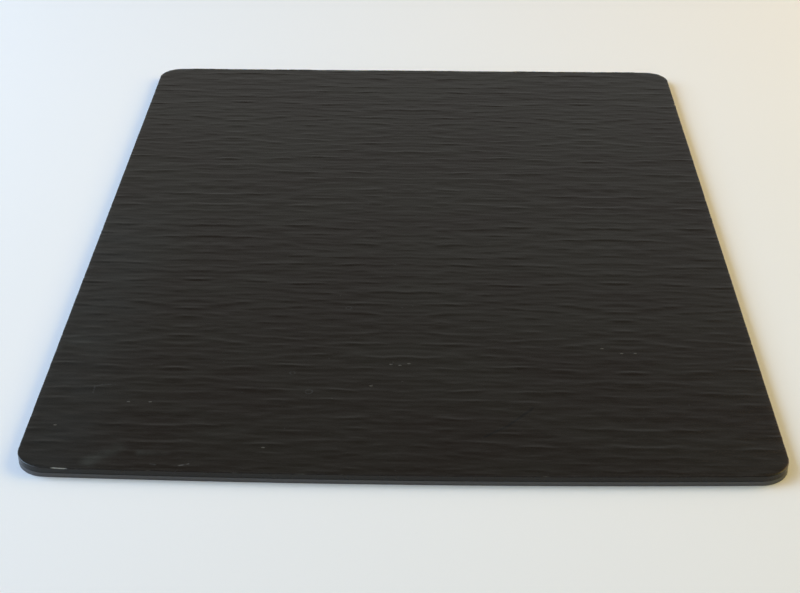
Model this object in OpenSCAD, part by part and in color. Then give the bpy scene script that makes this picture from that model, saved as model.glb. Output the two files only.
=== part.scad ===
// Thin stone slab for leatherwork: a hard stone plate on a non-slip backing sheet.
// +Z is up, +X runs across the slab and the crowned front edge faces -Y.
// The origin is the middle of the underside.

/* [Slab] */
// Width from side to side
slab_w = 300; // [200:5:450]
// Depth from the crown of the front edge to the back edge
slab_d = 400; // [200:5:600]
// Radius of the four corners
corner_r = 12.5; // [5:0.5:40]
// How far the middle of the front edge bows out past its ends
front_crown = 2.2; // [0.4:0.2:6]

/* [Layers] */
// Thickness of the stone plate
plate_t = 2.6; // [1.6:0.1:20]
// Thickness of the adhesive film
film_t = 0.15; // [0.1:0.05:0.5]
// Distance from the edge of the slab to the edge of the film
film_inset = 0.5; // [0.1:0.1:4]
// Thickness of the backing sheet
backing_t = 1.95; // [1:0.05:6]

/* [Hidden] */

// Heights of the film and the plate above the underside
film_z = backing_t;
plate_z = film_z + film_t;

// Centres of the four corner arcs
corner_x = slab_w / 2 - corner_r;
back_y = slab_d / 2 - corner_r;
front_y = front_crown + corner_r - slab_d / 2;

// The crown is one long arc that runs smoothly into both front corner arcs
crown_r = corner_r + (corner_x ^ 2 + front_crown ^ 2) / (2 * front_crown);
crown_y = crown_r - slab_d / 2;
crown_half_angle = atan2(corner_x, crown_y - front_y);

// Facets round each arc's full circle, where a preview needs them
crown_fn = 2880;
corner_fn = 96;

// Wedge in front of the front corner centres, whose slanted sides end the crown's arc
module crown_wedge() {
    reach = 2 * corner_r;
    dx = reach * sin(crown_half_angle);
    dy = reach * cos(crown_half_angle);
    polygon([
        [corner_x, front_y],
        [-corner_x, front_y],
        [-corner_x - dx, front_y - dy],
        [corner_x + dx, front_y - dy]
    ]);
}

// Outline of the slab from above, drawn in from its edge by inset
module slab_outline(inset = 0) {
    r = corner_r - inset;
    for (side = [-1, 1], y = [front_y, back_y])
        translate([side * corner_x, y]) circle(r = r, $fn = corner_fn);
    translate([-corner_x - r, front_y])
        square([2 * (corner_x + r), back_y - front_y]);
    translate([-corner_x, front_y])
        square([2 * corner_x, back_y + r - front_y]);
    intersection() {
        translate([0, crown_y]) circle(r = crown_r - inset, $fn = crown_fn);
        crown_wedge();
    }
}

// Hard working plate
module stone_plate() {
    color("#2d2b29")
        translate([0, 0, plate_z])
            linear_extrude(plate_t) slab_outline();
}

// Thin film that bonds the plate to its backing, cut a little short of the edge
module adhesive_film() {
    color("#15171a")
        translate([0, 0, film_z])
            linear_extrude(film_t) slab_outline(film_inset);
}

// Non-slip sheet that the slab rests on
module backing_sheet() {
    color("#46484b")
        linear_extrude(backing_t) slab_outline();
}

stone_plate();
adhesive_film();
backing_sheet();
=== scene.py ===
# Looks of the thin stone slab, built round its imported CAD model. Lengths are in metres, colours
# are linear, and the angles among the constants are in degrees unless a comment says otherwise.

from math import cos, pi, radians, sin

import bpy
import numpy as np
from mathutils import Matrix, Vector


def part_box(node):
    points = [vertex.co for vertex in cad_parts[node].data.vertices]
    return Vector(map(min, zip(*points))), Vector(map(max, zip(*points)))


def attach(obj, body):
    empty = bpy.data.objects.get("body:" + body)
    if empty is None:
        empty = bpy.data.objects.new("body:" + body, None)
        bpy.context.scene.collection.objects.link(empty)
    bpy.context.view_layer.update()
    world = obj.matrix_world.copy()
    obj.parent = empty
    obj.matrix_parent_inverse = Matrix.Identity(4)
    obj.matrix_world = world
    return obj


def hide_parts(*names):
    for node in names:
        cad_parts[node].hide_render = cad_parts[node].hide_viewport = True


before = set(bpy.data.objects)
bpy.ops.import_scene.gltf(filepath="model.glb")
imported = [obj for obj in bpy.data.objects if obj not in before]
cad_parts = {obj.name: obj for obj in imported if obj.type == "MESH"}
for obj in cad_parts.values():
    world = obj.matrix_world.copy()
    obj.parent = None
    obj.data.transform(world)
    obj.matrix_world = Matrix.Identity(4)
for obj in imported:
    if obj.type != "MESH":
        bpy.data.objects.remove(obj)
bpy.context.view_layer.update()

MM = 0.001
SEED = 51

# Outline, with the same sizes as the CAD model
CORNER_R = 12.5 * MM
CROWN = 2.2 * MM
plate_lo, plate_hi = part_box("stone_plate")
film_lo, film_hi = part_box("adhesive_film")
sheet_lo, sheet_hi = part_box("backing_sheet")
HALF_W = plate_hi.x
BACK = plate_hi.y
FRONT = plate_lo.y
CORNER_X = HALF_W - CORNER_R
BACK_Y = BACK - CORNER_R
FRONT_Y = FRONT + CROWN + CORNER_R
# The front edge is an arc between the corners. CROWN_ANGLE is half of it, in radians.
CROWN_R = CORNER_R + (CORNER_X**2 + CROWN**2) / (2 * CROWN)
CROWN_Y = FRONT + CROWN_R
CROWN_ANGLE = np.arctan2(CORNER_X, CROWN_Y - FRONT_Y)
CROWN_START = -0.3 * BACK
SHARP_ANGLE = 38

# Ripple on the working face: one tile, repeated with every second copy mirrored
TILE_W = 96.3 * MM
TILE_D = 101.8 * MM
TILE_X = -0.5 * MM
TILE_Y = 12.3 * MM
TILE_MARGIN = 8 * MM
RIPPLE_DEPTH = 0.31 * MM
NOISE_SIZE = 512
NOISE_STEP = 0.25 * MM
# Ridges as spacing, length and spread of the spacing, how far they wander and how far they lean
RIDGES = (7.8 * MM, 13 * MM, 0.36)
WANDER = 0.2 * MM
LEAN = 0.4 * MM
# Layers added to the ridges, as spacing, length, spread of the spacing and strength
LAYERS = (
    (16 * MM, 15 * MM, 0.45, 0.90),
    (4.0 * MM, 11 * MM, 0.28, 0.37),
    (2.4 * MM, 7 * MM, 0.28, 0.15),
)

# Rounded upper edge of the plate, which varies by a share, with one long nick at the front and
# small chips whose lengths and depths are given from least to most in millimetres
ARRIS = 0.38 * MM
ARRIS_ANGLES = (25, 50, 72, 90)
ARRIS_WEAR = 0.12
NICK_X = -131.8 * MM
NICK_LENGTH = 6.6 * MM
NICK_DEPTH = 0.26 * MM
CHIPS = 46
CHIP_LENGTHS_MM = (0.8, 2.2)
CHIP_DEPTHS_MM = (0.02, 0.08)

# Sides and lower edge of the plate, and the softened edges of the other two pieces
SIDE_ROUGHNESS = 0.012 * MM
PLATE_LOWER_EDGE = 0.1 * MM
FILM_SOFTNESS = 0.03 * MM
BACKING_SOFTNESS = 0.15 * MM

# Small pale specks on the working face, as x and y
SPECKS = {
    "right_a": (84.7 * MM, -108.2 * MM),
    "right_b": (92.8 * MM, -111.8 * MM),
    "right_c": (98.6 * MM, -111.6 * MM),
    "left_a": (-112.3 * MM, -152.4 * MM),
    "left_b": (-103.4 * MM, -152.4 * MM),
    "left_front": (-138.8 * MM, -169.5 * MM),
    "middle_a": (-13.7 * MM, -138.8 * MM),
    "middle_b": (-2.0 * MM, -123.1 * MM),
    "middle_c": (1.8 * MM, -121.6 * MM),
    "middle_d": (-5.8 * MM, -122.4 * MM),
    "front": (-54.4 * MM, -183.0 * MM),
}
# Half of a speck's length
SPECK_HALF = 0.35 * MM
# Fine scratches from end to end: a bright one, faint ones and a dark one
BRIGHT_SCRATCHES = {
    "front": ((-85.6 * MM, -195.3 * MM), (-82.1 * MM, -194.3 * MM)),
}
FAINT_SCRATCHES = {
    "front_left": ((-97.0 * MM, -194.6 * MM), (-94.9 * MM, -195.1 * MM)),
    "hook_side": ((-128.0 * MM, -146.1 * MM), (-128.0 * MM, -141.7 * MM)),
    "hook_bend": ((-128.0 * MM, -141.7 * MM), (-124.9 * MM, -140.1 * MM)),
    "hook_top": ((-124.9 * MM, -140.1 * MM), (-119.9 * MM, -140.0 * MM)),
}
DARK_SCRATCHES = {
    "upper": ((52.5 * MM, -154.0 * MM), (41.5 * MM, -167.0 * MM)),
    "lower": ((41.5 * MM, -167.0 * MM), (32.5 * MM, -174.0 * MM)),
}
# Rings left by drying drops, as x, y and radius
RINGS = {
    "large": (-39.2 * MM, -143.8 * MM, 1.5 * MM),
    "upper": (-25.9 * MM, -76.4 * MM, 1.3 * MM),
    "small": (-47.0 * MM, -129.8 * MM, 1.1 * MM),
}
# Length of the short stroke that a ring is drawn round
RING_RUN = 0.1 * MM
# Soft dusty smears from end to end, with the distance they fade over and their strength
SMEARS = {
    "corner": ((-120.5 * MM, -193.0 * MM), (-111.5 * MM, -184.5 * MM), 5.5 * MM, 1.0),
    "front": ((-101.9 * MM, -187.2 * MM), (-92.2 * MM, -187.0 * MM), 3.0 * MM, 1.0),
    "edge": ((-143.0 * MM, -105.0 * MM), (-132.0 * MM, -116.0 * MM), 9.0 * MM, 0.35),
}
# Half widths of the strokes where they are full and where they end
DARK_STROKE = (0.2 * MM, 0.9 * MM)
SCRATCH_STROKE = (0.1 * MM, 0.55 * MM)
SPECK_STROKE = (0.15 * MM, 0.5 * MM)
# A painted sheen of reflected light, stronger towards the left side and the front, from none to
# full
PAINTED_SHEEN_X = (-100 * MM, -142 * MM)
PAINTED_SHEEN_Y = (60 * MM, -20 * MM)

# Colours and surfaces of the stone, of what lies on it and of the light painted on it, and of the
# other materials
STONE_DEEP = (0.0080, 0.0046, 0.0022, 1)
STONE_PALE = (0.0098, 0.0074, 0.0042, 1)
STONE_GRAIN = (0.016, 0.014, 0.012, 1)
DUST_DOT = (0.05, 0.05, 0.048, 1)
# Pale chipped stone at the nick and chips, brightened further as a painted highlight
WORN_EDGE_AND_PAINTED_HIGHLIGHT = (0.90, 0.90, 0.80, 1)
# Colour of the painted sheen, reflected light painted in near the left side and front
PAINTED_SHEEN_COLOUR = (0.0135, 0.0128, 0.0112, 1)
SMEAR_COLOUR = (0.030, 0.031, 0.027, 1)
SPECK_COLOUR = (0.075, 0.071, 0.062, 1)
DARK_SCRATCH = (0.004, 0.003, 0.002, 1)
BRIGHT_TONE = 0.070
FAINT_TONE = 0.026
MARK_WARMTH = 0.04
STONE_ROUGHNESS = (0.22, 0.29)
STONE_IOR = 1.43
STONE_BUMP = 0.02 * MM
RUBBER_TONES = (0.088, 0.106)
RUBBER_WARMTH = 0.02
RUBBER_ROUGHNESS = (0.72, 0.84)
RUBBER_BUMP = 0.03 * MM
FILM_TONES = (0.006, 0.011)
FILM_ROUGHNESS = (0.5, 0.7)
FLOOR_TONES = (0.83, 0.86)
FLOOR_ROUGHNESS = 0.9

FLOOR_SIZE = 6.0
# Camera: focal length and sensor width in millimetres, place, and how far it looks down from
# level, left from straight ahead, and rolls
LENS = 71.35
SENSOR = 36
CAMERA_PLACE = (8.47 * MM, -685.64 * MM, 371.18 * MM)
CAMERA_DOWN = 30.607
CAMERA_TURN = 1.064
CAMERA_TILT = 0.071
# Lights: azimuth from the front towards the right, elevation, size, power in watts and colour
LIGHTS = {
    "cool_light": (-98, 32, 1.2, 31.0, (0.52, 0.73, 1.0)),
    "front_light": (-60, 40, 0.9, 5.7, (0.70, 0.79, 1.0)),
    "warm_light": (92, 32, 1.1, 10.0, (1.0, 0.86, 0.12)),
    "amber_light": (118, 30, 1.1, 11.0, (1.0, 0.57, 0.24)),
    "back_light": (180, 80, 0.8, 0.9, (0.80, 0.70, 1.0)),
}
LIGHT_DISTANCE = 1.7
# Brightness of the surround at rising heights, from the horizon at 0 to straight up at 1
SURROUND = (
    (0.30, 0.345), (0.42, 0.325), (0.52, 0.272), (0.62, 0.195),
    (0.72, 0.11), (0.79, 0.12), (0.92, 0.28),
)
# Its green, as a share of its red and blue
SURROUND_GREEN = 1.02


# ---------------------------------------------------------------- outline


class Outline:
    """The slab's outline as a closed loop of points with outward normals.

    Rows run across the slab from back to front, and each ends on the loop at both sides.
    The loop goes down the right side, along the front, up the left side and along the back.
    """

    def __init__(self, arc_steps, side_steps, columns, splits):
        back_arc = np.linspace(pi / 2, 0, arc_steps + 1)
        front_arc = np.linspace(0, CROWN_ANGLE - pi / 2, arc_steps + 1)
        side_y = np.linspace(BACK_Y, FRONT_Y, side_steps + 1)[1:-1]
        turns = np.concatenate([back_arc, front_arc])
        centre_y = np.where(np.arange(len(turns)) <= arc_steps, BACK_Y, FRONT_Y)
        arcs = np.column_stack([
            CORNER_X + CORNER_R * np.cos(turns), centre_y + CORNER_R * np.sin(turns)
        ])
        arc_normals = np.column_stack([np.cos(turns), np.sin(turns)])
        side = np.column_stack([np.full(len(side_y), HALF_W), side_y])
        side_normals = np.tile([1.0, 0.0], (len(side_y), 1))
        half = arc_steps + 1
        self.ends = np.concatenate([arcs[:half], side, arcs[half:]])
        self.end_normals = np.concatenate([arc_normals[:half], side_normals, arc_normals[half:]])
        self.rows = len(self.ends)
        self.columns = columns
        self.splits = splits
        self.across = np.linspace(-1, 1, columns + 1)

        # Points between the corners, splits of them to a column, and where they begin
        self.fine = columns * splits - 1
        self.front_first = self.rows
        self.back_first = 2 * self.rows + self.fine
        fine_across = np.linspace(1, -1, columns * splits + 1)[1:-1]
        turn = CROWN_ANGLE * fine_across
        front_normals = np.column_stack([np.sin(turn), -np.cos(turn)])
        front = np.array([0, CROWN_Y]) + CROWN_R * front_normals
        back = np.column_stack([-CORNER_X * fine_across, np.full(self.fine, BACK)])
        mirror = np.array([-1.0, 1.0])
        self.points = np.concatenate([self.ends, front, self.ends[::-1] * mirror, back])
        self.normals = np.concatenate([
            self.end_normals, front_normals, self.end_normals[::-1] * mirror,
            np.tile([0.0, 1.0], (self.fine, 1)),
        ])

    def grid(self, inset):
        """Points of the rows and columns inside the loop drawn in by inset, as two arrays.

        From CROWN_START forwards, the rows bend more and more like the crowned front edge.
        """
        ends = self.ends - inset * self.end_normals
        reach = CROWN_R - inset
        drop = reach * (np.cos(CROWN_ANGLE) - np.cos(CROWN_ANGLE * self.across))
        share = np.clip((CROWN_START - ends[:, 1]) / (CROWN_START - ends[-1, 1]), 0, 1)
        x = ends[:, :1] * self.across
        y = ends[:, 1:] + share[:, None] * drop
        return x, y

    def side_rows(self):
        """Loop positions of the right ends and the left ends of the rows."""
        right = np.arange(self.rows)
        left = self.front_first + self.fine + np.arange(self.rows)[::-1]
        return right, left


class MeshData:
    """Vertices and faces that grow ring by ring."""

    def __init__(self):
        self.vertices = []
        self.wear = []
        self.count = 0
        self.faces = []

    def add(self, xyz, wear=0.0):
        """Adds points given as an array of x, y, z and returns their numbers."""
        xyz = np.asarray(xyz, float).reshape(-1, 3)
        self.vertices.append(xyz)
        self.wear.append(np.broadcast_to(wear, len(xyz)))
        first = self.count
        self.count += len(xyz)
        return np.arange(first, self.count)

    def ring_below(self, upper, xyz, wear=0.0):
        """Adds a closed ring of points, joins the ring above it to it and returns its numbers."""
        lower = self.add(xyz, wear)
        self.faces += np.column_stack(
            [upper, lower, np.roll(lower, -1), np.roll(upper, -1)]
        )[:, ::-1].tolist()
        return lower

    def strips(self, ring, outline, upwards):
        """Fills a flat ring with one face per pair of rows."""
        right, left = outline.side_rows()
        front = ring[outline.front_first + np.arange(outline.fine)]
        back = ring[outline.back_first + np.arange(outline.fine)]
        last = outline.rows - 1
        for row in range(last):
            face = [ring[right[row]], ring[right[row + 1]]]
            if row == last - 1:
                face += front.tolist()
            face += [ring[left[row + 1]], ring[left[row]]]
            if row == 0:
                face += back.tolist()
            self.faces.append([int(v) for v in (face[::-1] if upwards else face)])

    def build(self, name, material):
        """Makes the object, smooth except along real edges, and returns it."""
        mesh = bpy.data.meshes.new(name)
        mesh.from_pydata(np.concatenate(self.vertices).tolist(), [], self.faces)
        mesh.update()
        mesh.materials.append(material)
        wear = mesh.attributes.new("wear", "FLOAT", "POINT")
        wear.data.foreach_set("value", np.concatenate(self.wear).astype(np.float32))
        mesh.shade_smooth()
        mesh.set_sharp_from_angle(angle=radians(SHARP_ANGLE))
        piece = bpy.data.objects.new(name, mesh)
        bpy.context.scene.collection.objects.link(piece)
        return piece


def ring_points(outline, inset, height):
    """A ring of the outline drawn in by inset, at height. Both may vary round the ring."""
    inset = np.broadcast_to(inset, len(outline.points))
    height = np.broadcast_to(height, len(outline.points))
    xy = outline.points - inset[:, None] * outline.normals
    return np.column_stack([xy, height])


# ---------------------------------------------------------------- ripple


def frequencies():
    """Waves per metre in the spectrum of a noise field, along X and along Y."""
    waves = np.fft.fftfreq(NOISE_SIZE, NOISE_STEP)
    return waves[None, :], waves[:, None]


def band_noise(rng, spacing, length, spread):
    """Noise whose ridges run along X, about spacing apart and length long."""
    along, over = frequencies()
    bell = -0.5 * ((np.abs(over) * spacing - 1) / spread) ** 2
    envelope = np.exp(bell - np.abs(along) * length)
    white = rng.standard_normal((NOISE_SIZE, NOISE_SIZE))
    field = np.fft.ifft2(np.fft.fft2(white) * envelope).real
    return field / field.std()


def evened(field, along_size, over_size):
    """The field with its strong and weak patches, of the two sizes, brought closer together."""
    along, over = frequencies()
    blur = np.exp(-2 * pi**2 * ((along * along_size) ** 2 + (over * over_size) ** 2))
    strength = np.sqrt(np.maximum(np.fft.ifft2(np.fft.fft2(field**2) * blur).real, 0))
    return field / (0.4 * field.std() + 0.6 * strength)


def sample(field, x, y):
    """Values of a noise field at x, y from its first value, interpolated between its points."""
    column = np.clip(x / NOISE_STEP, 0, field.shape[1] - 1.001)
    row = np.clip(y / NOISE_STEP, 0, field.shape[0] - 1.001)
    c, r = column.astype(int), row.astype(int)
    u, v = column - c, row - r
    near = field[r, c] * (1 - u) + field[r, c + 1] * u
    far = field[r + 1, c] * (1 - u) + field[r + 1, c + 1] * u
    return near * (1 - v) + far * v


def ripple_tile():
    """Height of one tile of the ripple, from 0 at its deepest to 1 on its highest crest."""
    rng = np.random.default_rng(SEED)
    ridges = evened(band_noise(rng, *RIDGES), 8 * MM, 5 * MM)
    bend = WANDER * band_noise(rng, 60 * MM, 30 * MM, 0.8)
    x, y = np.meshgrid(np.arange(NOISE_SIZE), np.arange(NOISE_SIZE))
    lean = LEAN * ridges / ridges.std()
    ridges = sample(ridges, x * NOISE_STEP, y * NOISE_STEP + bend - lean)
    # The exponential makes narrow crests with wide hollows between them
    field = np.exp(0.7 * ridges / ridges.std())
    field = field / field.std()
    for spacing, length, spread, strength in LAYERS:
        field += strength * band_noise(rng, spacing, length, spread)
    low, high = np.percentile(field, (0.5, 99.8))
    return np.clip((field - low) / (high - low), 0, 1)


TILE = ripple_tile()


def fold(distance, size):
    """Distance into a tile when every second copy is mirrored."""
    distance = np.mod(distance, 2 * size)
    return np.where(distance > size, 2 * size - distance, distance)


def ripple(x, y):
    """Height of the working face above its highest crest, so always 0 or less."""
    u = TILE_MARGIN + fold(x - TILE_X, TILE_W)
    v = TILE_MARGIN + fold(y - TILE_Y, TILE_D)
    return RIPPLE_DEPTH * (sample(TILE, u, v) - 1)


# ---------------------------------------------------------------- materials


class Shader:
    """A Principled material with short calls that add and join nodes."""

    def __init__(self, name):
        self.material = bpy.data.materials.new(name)
        self.material.use_nodes = True
        self.tree = self.material.node_tree
        self.surface = self.tree.nodes["Principled BSDF"]
        self.place = self.node("ShaderNodeTexCoord").outputs["Object"]

    def node(self, kind, inputs=None, **settings):
        """Adds a node and fills its inputs with values or links."""
        made = self.tree.nodes.new(kind)
        for key, value in settings.items():
            setattr(made, key, value)
        for key, value in (inputs or {}).items():
            self.put(made.inputs[key], value)
        return made

    def put(self, socket, value):
        """Links an output to the socket, or sets the socket to a plain value."""
        if isinstance(value, bpy.types.NodeSocket):
            self.tree.links.new(value, socket)
        else:
            socket.default_value = value

    def set(self, name, value):
        """Fills an input of the material's surface."""
        self.put(self.surface.inputs[name], value)

    def stretched(self, x, y, z):
        """Object position divided by a length along each axis."""
        scale = (1 / x, 1 / y, 1 / z)
        return self.node(
            "ShaderNodeMapping", {"Vector": self.place, "Scale": scale}
        ).outputs["Vector"]

    def noise(self, x, y, z, detail=3, roughness=0.5):
        """Noise with features about x, y and z long, from 0 to 1."""
        inputs = {"Vector": self.stretched(x, y, z), "Scale": 1.0, "Detail": detail}
        inputs["Roughness"] = roughness
        return self.node("ShaderNodeTexNoise", inputs).outputs["Fac"]

    def math(self, operation, a, b=0.0, clamp=False):
        """Result of a math node."""
        inputs = {0: a, 1: b}
        return self.node(
            "ShaderNodeMath", inputs, operation=operation, use_clamp=clamp
        ).outputs[0]

    def vector(self, operation, inputs):
        """A vector math node."""
        return self.node("ShaderNodeVectorMath", inputs, operation=operation)

    def span(self, value, low, high, new_low=0.0, new_high=1.0):
        """Smoothly maps low..high of a value to a new range."""
        inputs = {"Value": value, "From Min": low, "From Max": high}
        inputs.update({"To Min": new_low, "To Max": new_high})
        return self.node(
            "ShaderNodeMapRange", inputs, interpolation_type="SMOOTHSTEP"
        ).outputs["Result"]

    def mix(self, share, a, b):
        """Colour a where share is 0 and colour b where it is 1."""
        made = self.node("ShaderNodeMix", data_type="RGBA")
        self.put(made.inputs["Factor"], share)
        self.put(made.inputs["A"], a)
        self.put(made.inputs["B"], b)
        return made.outputs["Result"]

    def stroke(self, start, end, core, edge):
        """Mask of a line on the working face: 1 within core of it, 0 beyond edge."""
        start, end = Vector((*start, 0)), Vector((*end, 0))
        run = end - start
        flat = self.vector("MULTIPLY", {0: self.place, 1: (1, 1, 0)}).outputs[0]
        away = self.vector("SUBTRACT", {0: flat, 1: start}).outputs[0]
        share = self.vector("DOT_PRODUCT", {0: away, 1: run / run.length_squared})
        share = self.math("ADD", share.outputs["Value"], 0.0, clamp=True)
        along = self.vector("SCALE", {0: run, "Scale": share}).outputs[0]
        distance = self.vector("DISTANCE", {0: away, 1: along}).outputs["Value"]
        return self.span(distance, edge, core)

    def bump(self, height, distance):
        """Normal of a surface raised by distance where height is 1."""
        inputs = {"Height": height, "Distance": distance, "Strength": 1.0}
        return self.node("ShaderNodeBump", inputs).outputs["Normal"]


def grey(value, warmth=0.0):
    """A linear grey, a little warmer or cooler."""
    return (value * (1 + warmth), value, value * (1 - warmth), 1)


def add_dust_and_painted_sheen(shader, colour):
    """Lays the painted sheen near the left side and front, and the dusty smears, over the stone's
    colour.
    """
    place = shader.node("ShaderNodeSeparateXYZ", {0: shader.place})
    cloud = shader.noise(24 * MM, 12 * MM, 24 * MM, 5, 0.6)
    # Painted sheen: reflected light painted into the colour near the left side and front, broken
    # up by the cloud
    painted_sheen = shader.math("MULTIPLY", shader.span(place.outputs["X"], *PAINTED_SHEEN_X),
                       shader.span(place.outputs["Y"], *PAINTED_SHEEN_Y))
    painted_sheen = shader.math("MULTIPLY", painted_sheen, shader.span(cloud, 0.3, 0.7, 0.5, 1.0))
    colour = shader.mix(painted_sheen, colour, PAINTED_SHEEN_COLOUR)
    for start, end, width, strength in SMEARS.values():
        smear = shader.math("MULTIPLY", shader.stroke(start, end, 0, width),
                            shader.span(cloud, 0.35, 0.65, 0.15 * strength, strength))
        colour = shader.mix(smear, colour, SMEAR_COLOUR)
    return colour


def add_marks(shader, colour):
    """Lays scratches, dried drop rings and specks over the stone's colour."""
    for start, end in DARK_SCRATCHES.values():
        scratch = shader.stroke(start, end, *DARK_STROKE)
        colour = shader.mix(scratch, colour, DARK_SCRATCH)
    broken = shader.span(shader.noise(1.2 * MM, 1.2 * MM, 1.2 * MM), 0.35, 0.6, 0.2, 1.0)
    for group, tone in ((BRIGHT_SCRATCHES, BRIGHT_TONE), (FAINT_SCRATCHES, FAINT_TONE)):
        for start, end in group.values():
            scratch = shader.stroke(start, end, *SCRATCH_STROKE)
            scratch = shader.math("MULTIPLY", scratch, broken)
            colour = shader.mix(scratch, colour, grey(tone, MARK_WARMTH))
    for x, y, radius in RINGS.values():
        ends = (x, y), (x + RING_RUN, y)
        inner = shader.stroke(*ends, 0.6 * radius, 0.95 * radius)
        outer = shader.stroke(*ends, 0.95 * radius, 1.3 * radius)
        rim = shader.math("MULTIPLY", shader.math("SUBTRACT", outer, inner), broken)
        colour = shader.mix(rim, colour, grey(FAINT_TONE, MARK_WARMTH))
    for x, y in SPECKS.values():
        ends = (x - SPECK_HALF, y), (x + SPECK_HALF, y)
        speck = shader.stroke(*ends, *SPECK_STROKE)
        colour = shader.mix(speck, colour, SPECK_COLOUR)
    return colour


def stone_material():
    """Near-black glossy stone with fine grain, dust, marks, a painted sheen near the left side
    and front, and pale worn edges brightened into a painted highlight.
    """
    shader = Shader("black_stone")
    tone = shader.noise(60 * MM, 34 * MM, 20 * MM, 5)
    grain = shader.noise(5 * MM, 0.9 * MM, 3 * MM, 4, 0.6)
    colour = shader.mix(shader.span(tone, 0.35, 0.65), STONE_DEEP, STONE_PALE)
    colour = shader.mix(shader.span(grain, 0.45, 0.8, 0, 0.4), colour, STONE_GRAIN)
    dots = shader.node(
        "ShaderNodeTexVoronoi", {"Vector": shader.stretched(9 * MM, 9 * MM, 9 * MM), "Scale": 1.0}
    ).outputs["Distance"]
    colour = shader.mix(shader.span(dots, 0.045, 0.02, 0, 0.5), colour, DUST_DOT)
    colour = add_marks(shader, add_dust_and_painted_sheen(shader, colour))
    wear = shader.node("ShaderNodeAttribute", attribute_name="wear").outputs["Fac"]
    broken = shader.noise(0.9 * MM, 0.9 * MM, 0.5 * MM, 3, 0.6)
    worn = shader.math("MULTIPLY", wear, shader.span(broken, 0.25, 0.55, 0.6, 1.0))
    # Pale chipped edges: worn stone, brightened further as a painted highlight on the nick
    shader.set("Base Color", shader.mix(worn, colour, WORN_EDGE_AND_PAINTED_HIGHLIGHT))
    rough = shader.span(grain, 0.3, 0.7, *STONE_ROUGHNESS)
    rough = shader.math("ADD", rough, shader.math("MULTIPLY", worn, 0.4), clamp=True)
    shader.set("Roughness", rough)
    shader.set("IOR", STONE_IOR)
    fine = shader.noise(1.6 * MM, 0.45 * MM, 0.6 * MM, 3, 0.6)
    shader.set("Normal", shader.bump(fine, STONE_BUMP))
    return shader.material


def rubber_material():
    """Matt grey rubber with a faint cloudiness and a fine grain."""
    shader = Shader("grey_rubber")
    tone = shader.noise(22 * MM, 22 * MM, 8 * MM, 4)
    low, high = (grey(value, RUBBER_WARMTH) for value in RUBBER_TONES)
    shader.set("Base Color", shader.mix(tone, low, high))
    shader.set("Roughness", shader.span(tone, 0.3, 0.7, *RUBBER_ROUGHNESS))
    grain = shader.noise(0.5 * MM, 0.5 * MM, 0.5 * MM, 3, 0.6)
    shader.set("Normal", shader.bump(grain, RUBBER_BUMP))
    return shader.material


def film_material():
    """Dark dried adhesive."""
    shader = Shader("adhesive")
    tone = shader.noise(3 * MM, 3 * MM, 1 * MM, 2)
    low, high = (grey(value) for value in FILM_TONES)
    shader.set("Base Color", shader.mix(tone, low, high))
    shader.set("Roughness", shader.span(tone, 0.3, 0.7, *FILM_ROUGHNESS))
    return shader.material


def floor_material():
    """Plain pale floor."""
    shader = Shader("pale_floor")
    tone = shader.noise(0.4, 0.4, 0.4, 3)
    low, high = (grey(value) for value in FLOOR_TONES)
    shader.set("Base Color", shader.mix(tone, low, high))
    shader.set("Roughness", FLOOR_ROUGHNESS)
    return shader.material


# ---------------------------------------------------------------- pieces


def wrap_smooth(values, count):
    """Values with each one averaged with its neighbours round a ring, count times."""
    for _ in range(count):
        values = (np.roll(values, 1) + 2 * values + np.roll(values, -1)) / 4
    return values


def chip_depths(outline, rng):
    """Depth of the nick and of small chips at each point round the arris."""
    x, y = outline.points.T
    front = y < FRONT_Y - 0.9 * CORNER_R
    nick = 1 - (2 * (x - NICK_X) / NICK_LENGTH) ** 2
    depth = np.where(front, np.clip(nick, 0, None) ** 0.4 * NICK_DEPTH, 0)
    step = np.linalg.norm(outline.points - np.roll(outline.points, 1, 0), axis=1)
    travel = np.cumsum(step)
    for centre in rng.choice(len(x), CHIPS, replace=False):
        length = rng.uniform(*CHIP_LENGTHS_MM) * MM
        size = rng.uniform(*CHIP_DEPTHS_MM) * MM
        bite = 1 - ((travel - travel[centre]) / length) ** 2
        depth = np.maximum(depth, size * np.clip(bite, 0, None))
    return depth


def split_edge(data, outline, ring, first, corners, inside):
    """Faces between an inner row and the finely split edge in front of or behind it."""
    chain = np.concatenate([corners[:1], ring[first:first + outline.fine], corners[1:]])
    for column in range(outline.columns):
        start = column * outline.splits
        face = [*chain[start:start + outline.splits + 1], inside[column + 1], inside[column]]
        data.faces.append([int(v) for v in face[::-1]])


def make_face(data, outline):
    """The rippled working face. Returns the points of its edge and their numbers."""
    x, y = outline.grid(ARRIS)
    top = data.add(np.stack([x, y, plate_hi.z + ripple(x, y)], -1)).reshape(x.shape)
    quads = np.stack([top[1:-2, :-1], top[2:-1, :-1], top[2:-1, 1:], top[1:-2, 1:]], -1)
    data.faces += quads.reshape(-1, 4).tolist()

    # Ring round the face, with the front and back edges split finer than the columns
    edge = ring_points(outline, ARRIS, 0)
    edge[:, 2] = plate_hi.z + ripple(edge[:, 0], edge[:, 1])
    right, left = outline.side_rows()
    ring = np.full(len(edge), -1)
    ring[right] = top[:, -1]
    ring[left] = top[:, 0]
    inner = np.arange(1, outline.columns)
    ring[outline.front_first + inner * outline.splits - 1] = top[-1, ::-1][inner]
    ring[outline.back_first + inner * outline.splits - 1] = top[0, inner]
    new = np.flatnonzero(ring < 0)
    ring[new] = data.add(edge[new])
    split_edge(data, outline, ring, outline.front_first, top[-1, [-1, 0]], top[-2, ::-1])
    split_edge(data, outline, ring, outline.back_first, top[0, [0, -1]], top[1])
    return edge, ring


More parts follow.
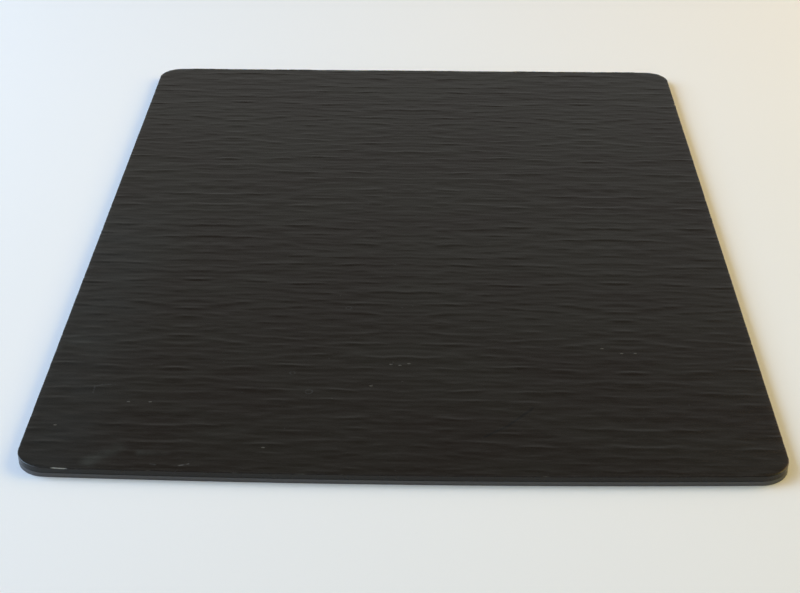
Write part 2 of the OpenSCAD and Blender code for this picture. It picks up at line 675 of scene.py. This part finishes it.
def make_arris(data, outline, edge, ring, rng):
    """The rounded, chipped arris. Returns its lowest ring and that ring's height unchipped."""
    worn = wrap_smooth(rng.standard_normal(len(edge)), 60)
    round_r = ARRIS * (1 + ARRIS_WEAR * np.clip(worn / worn.std(), -2, 2))
    chips = chip_depths(outline, rng)
    for angle in map(radians, ARRIS_ANGLES):
        bite = chips * sin(2 * angle) ** 2
        inset = ARRIS * (1 - sin(angle)) + bite
        height = edge[:, 2] - round_r * (1 - cos(angle)) - bite
        points = ring_points(outline, inset, height)
        ring = data.ring_below(ring, points, (bite / NICK_DEPTH) ** 2)
    return ring, edge[:, 2] - round_r


def make_sides(data, outline, ring, side_top, rng):
    """The slightly rough sides and the lower edge of the plate. Returns the lowest ring."""
    side_bottom = plate_lo.z + 0.12 * MM
    for share in (0.35, 0.7):
        rough = wrap_smooth(rng.standard_normal(len(side_top)), 2)
        inset = SIDE_ROUGHNESS * (1 + np.clip(rough / rough.std(), -1, 1))
        height = side_top + (side_bottom - side_top) * share
        ring = data.ring_below(ring, ring_points(outline, inset, height))
    for inset, height in ((0.1 * PLATE_LOWER_EDGE, PLATE_LOWER_EDGE), (PLATE_LOWER_EDGE, 0.0)):
        ring = data.ring_below(ring, ring_points(outline, inset, plate_lo.z + height))
    return ring


def make_plate(outline):
    """The stone plate, with its rippled face, worn arris and rough-cut sides."""
    data = MeshData()
    rng = np.random.default_rng(SEED + 1)
    edge, ring = make_face(data, outline)
    ring, side_top = make_arris(data, outline, edge, ring, rng)
    ring = make_sides(data, outline, ring, side_top, rng)
    data.strips(ring, outline, False)
    piece = data.build("stone_slab", stone_material())
    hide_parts("stone_plate")
    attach(piece, "root")


def make_film(outline):
    """The adhesive film, cut a little short of the edge."""
    data = MeshData()
    short = plate_hi.x - film_hi.x
    ring = data.add(ring_points(outline, short + FILM_SOFTNESS, film_hi.z))
    data.strips(ring, outline, True)
    for inset, share in ((0.0, 0.75), (0.0, 0.25), (FILM_SOFTNESS, 0.0)):
        height = film_lo.z + share * (film_hi.z - film_lo.z)
        ring = data.ring_below(ring, ring_points(outline, short + inset, height))
    data.strips(ring, outline, False)
    piece = data.build("bond_film", film_material())
    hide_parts("adhesive_film")
    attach(piece, "root")


def make_backing(outline):
    """The backing sheet, with softened edges."""
    data = MeshData()
    soft = BACKING_SOFTNESS
    ring = data.add(ring_points(outline, soft, sheet_hi.z))
    data.strips(ring, outline, True)
    rings = (
        (0.3 * soft, sheet_hi.z - 0.3 * soft),
        (0.0, sheet_hi.z - soft),
        (0.0, sheet_lo.z + soft),
        (0.3 * soft, sheet_lo.z + 0.3 * soft),
        (soft, sheet_lo.z),
    )
    for inset, height in rings:
        ring = data.ring_below(ring, ring_points(outline, inset, height))
    data.strips(ring, outline, False)
    piece = data.build("non_slip_backing", rubber_material())
    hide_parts("backing_sheet")
    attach(piece, "root")


# ---------------------------------------------------------------- setting


def make_floor():
    """The plain pale floor that the slab lies on."""
    bpy.ops.mesh.primitive_plane_add(size=FLOOR_SIZE, location=(0, 0, 0))
    floor = bpy.context.object
    floor.name = "floor"
    floor.data.materials.append(floor_material())


def make_camera():
    """Camera above and in front of the slab, turned slightly to the left."""
    data = bpy.data.cameras.new("camera")
    data.sensor_width = SENSOR
    data.lens = LENS
    camera = bpy.data.objects.new("camera", data)
    camera.matrix_world = (
        Matrix.Translation(Vector(CAMERA_PLACE))
        @ Matrix.Rotation(radians(CAMERA_TURN), 4, "Z")
        @ Matrix.Rotation(pi / 2 - radians(CAMERA_DOWN), 4, "X")
        @ Matrix.Rotation(radians(CAMERA_TILT), 4, "Z")
    )
    bpy.context.scene.collection.objects.link(camera)
    bpy.context.scene.camera = camera


def make_light(name, azimuth, elevation, size, power, colour):
    """A soft square light that looks at the middle of the slab."""
    data = bpy.data.lights.new(name, "AREA")
    data.shape = "SQUARE"
    data.size = size
    data.energy = power
    data.color = colour
    a, e = radians(azimuth), radians(elevation)
    place = LIGHT_DISTANCE * Vector((sin(a) * cos(e), -cos(a) * cos(e), sin(e)))
    light = bpy.data.objects.new(name, data)
    light.location = place
    light.rotation_euler = place.to_track_quat("Z", "Y").to_euler()
    bpy.context.scene.collection.objects.link(light)


def make_surround():
    """A grey surround, darkest about halfway up and lighter towards the horizon and overhead."""
    world = bpy.data.worlds.new("surround")
    bpy.context.scene.world = world
    world.use_nodes = True
    tree = world.node_tree
    place = tree.nodes.new("ShaderNodeTexCoord").outputs["Generated"]
    parts = tree.nodes.new("ShaderNodeSeparateXYZ")
    tree.links.new(place, parts.inputs[0])
    ramp = tree.nodes.new("ShaderNodeValToRGB")
    tree.links.new(parts.outputs["Z"], ramp.inputs["Fac"])
    stops = ramp.color_ramp.elements
    stops[0].position, stops[1].position = SURROUND[0][0], SURROUND[-1][0]
    for height, _ in SURROUND[1:-1]:
        stops.new(height)
    for stop, (_, light) in zip(stops, SURROUND):
        stop.color = (light, SURROUND_GREEN * light, light, 1)
    tree.links.new(ramp.outputs["Color"], tree.nodes["Background"].inputs["Color"])


def make_lights():
    """Soft studio light: cool from the left, warm from the right, and a grey surround."""
    for name, settings in LIGHTS.items():
        make_light(name, *settings)
    make_surround()
    bpy.context.scene.view_settings.view_transform = "Standard"


make_floor()
make_camera()
make_lights()
make_plate(Outline(arc_steps=34, side_steps=690, columns=100, splits=4))
make_film(Outline(arc_steps=24, side_steps=40, columns=20, splits=1))
make_backing(Outline(arc_steps=34, side_steps=120, columns=60, splits=1))
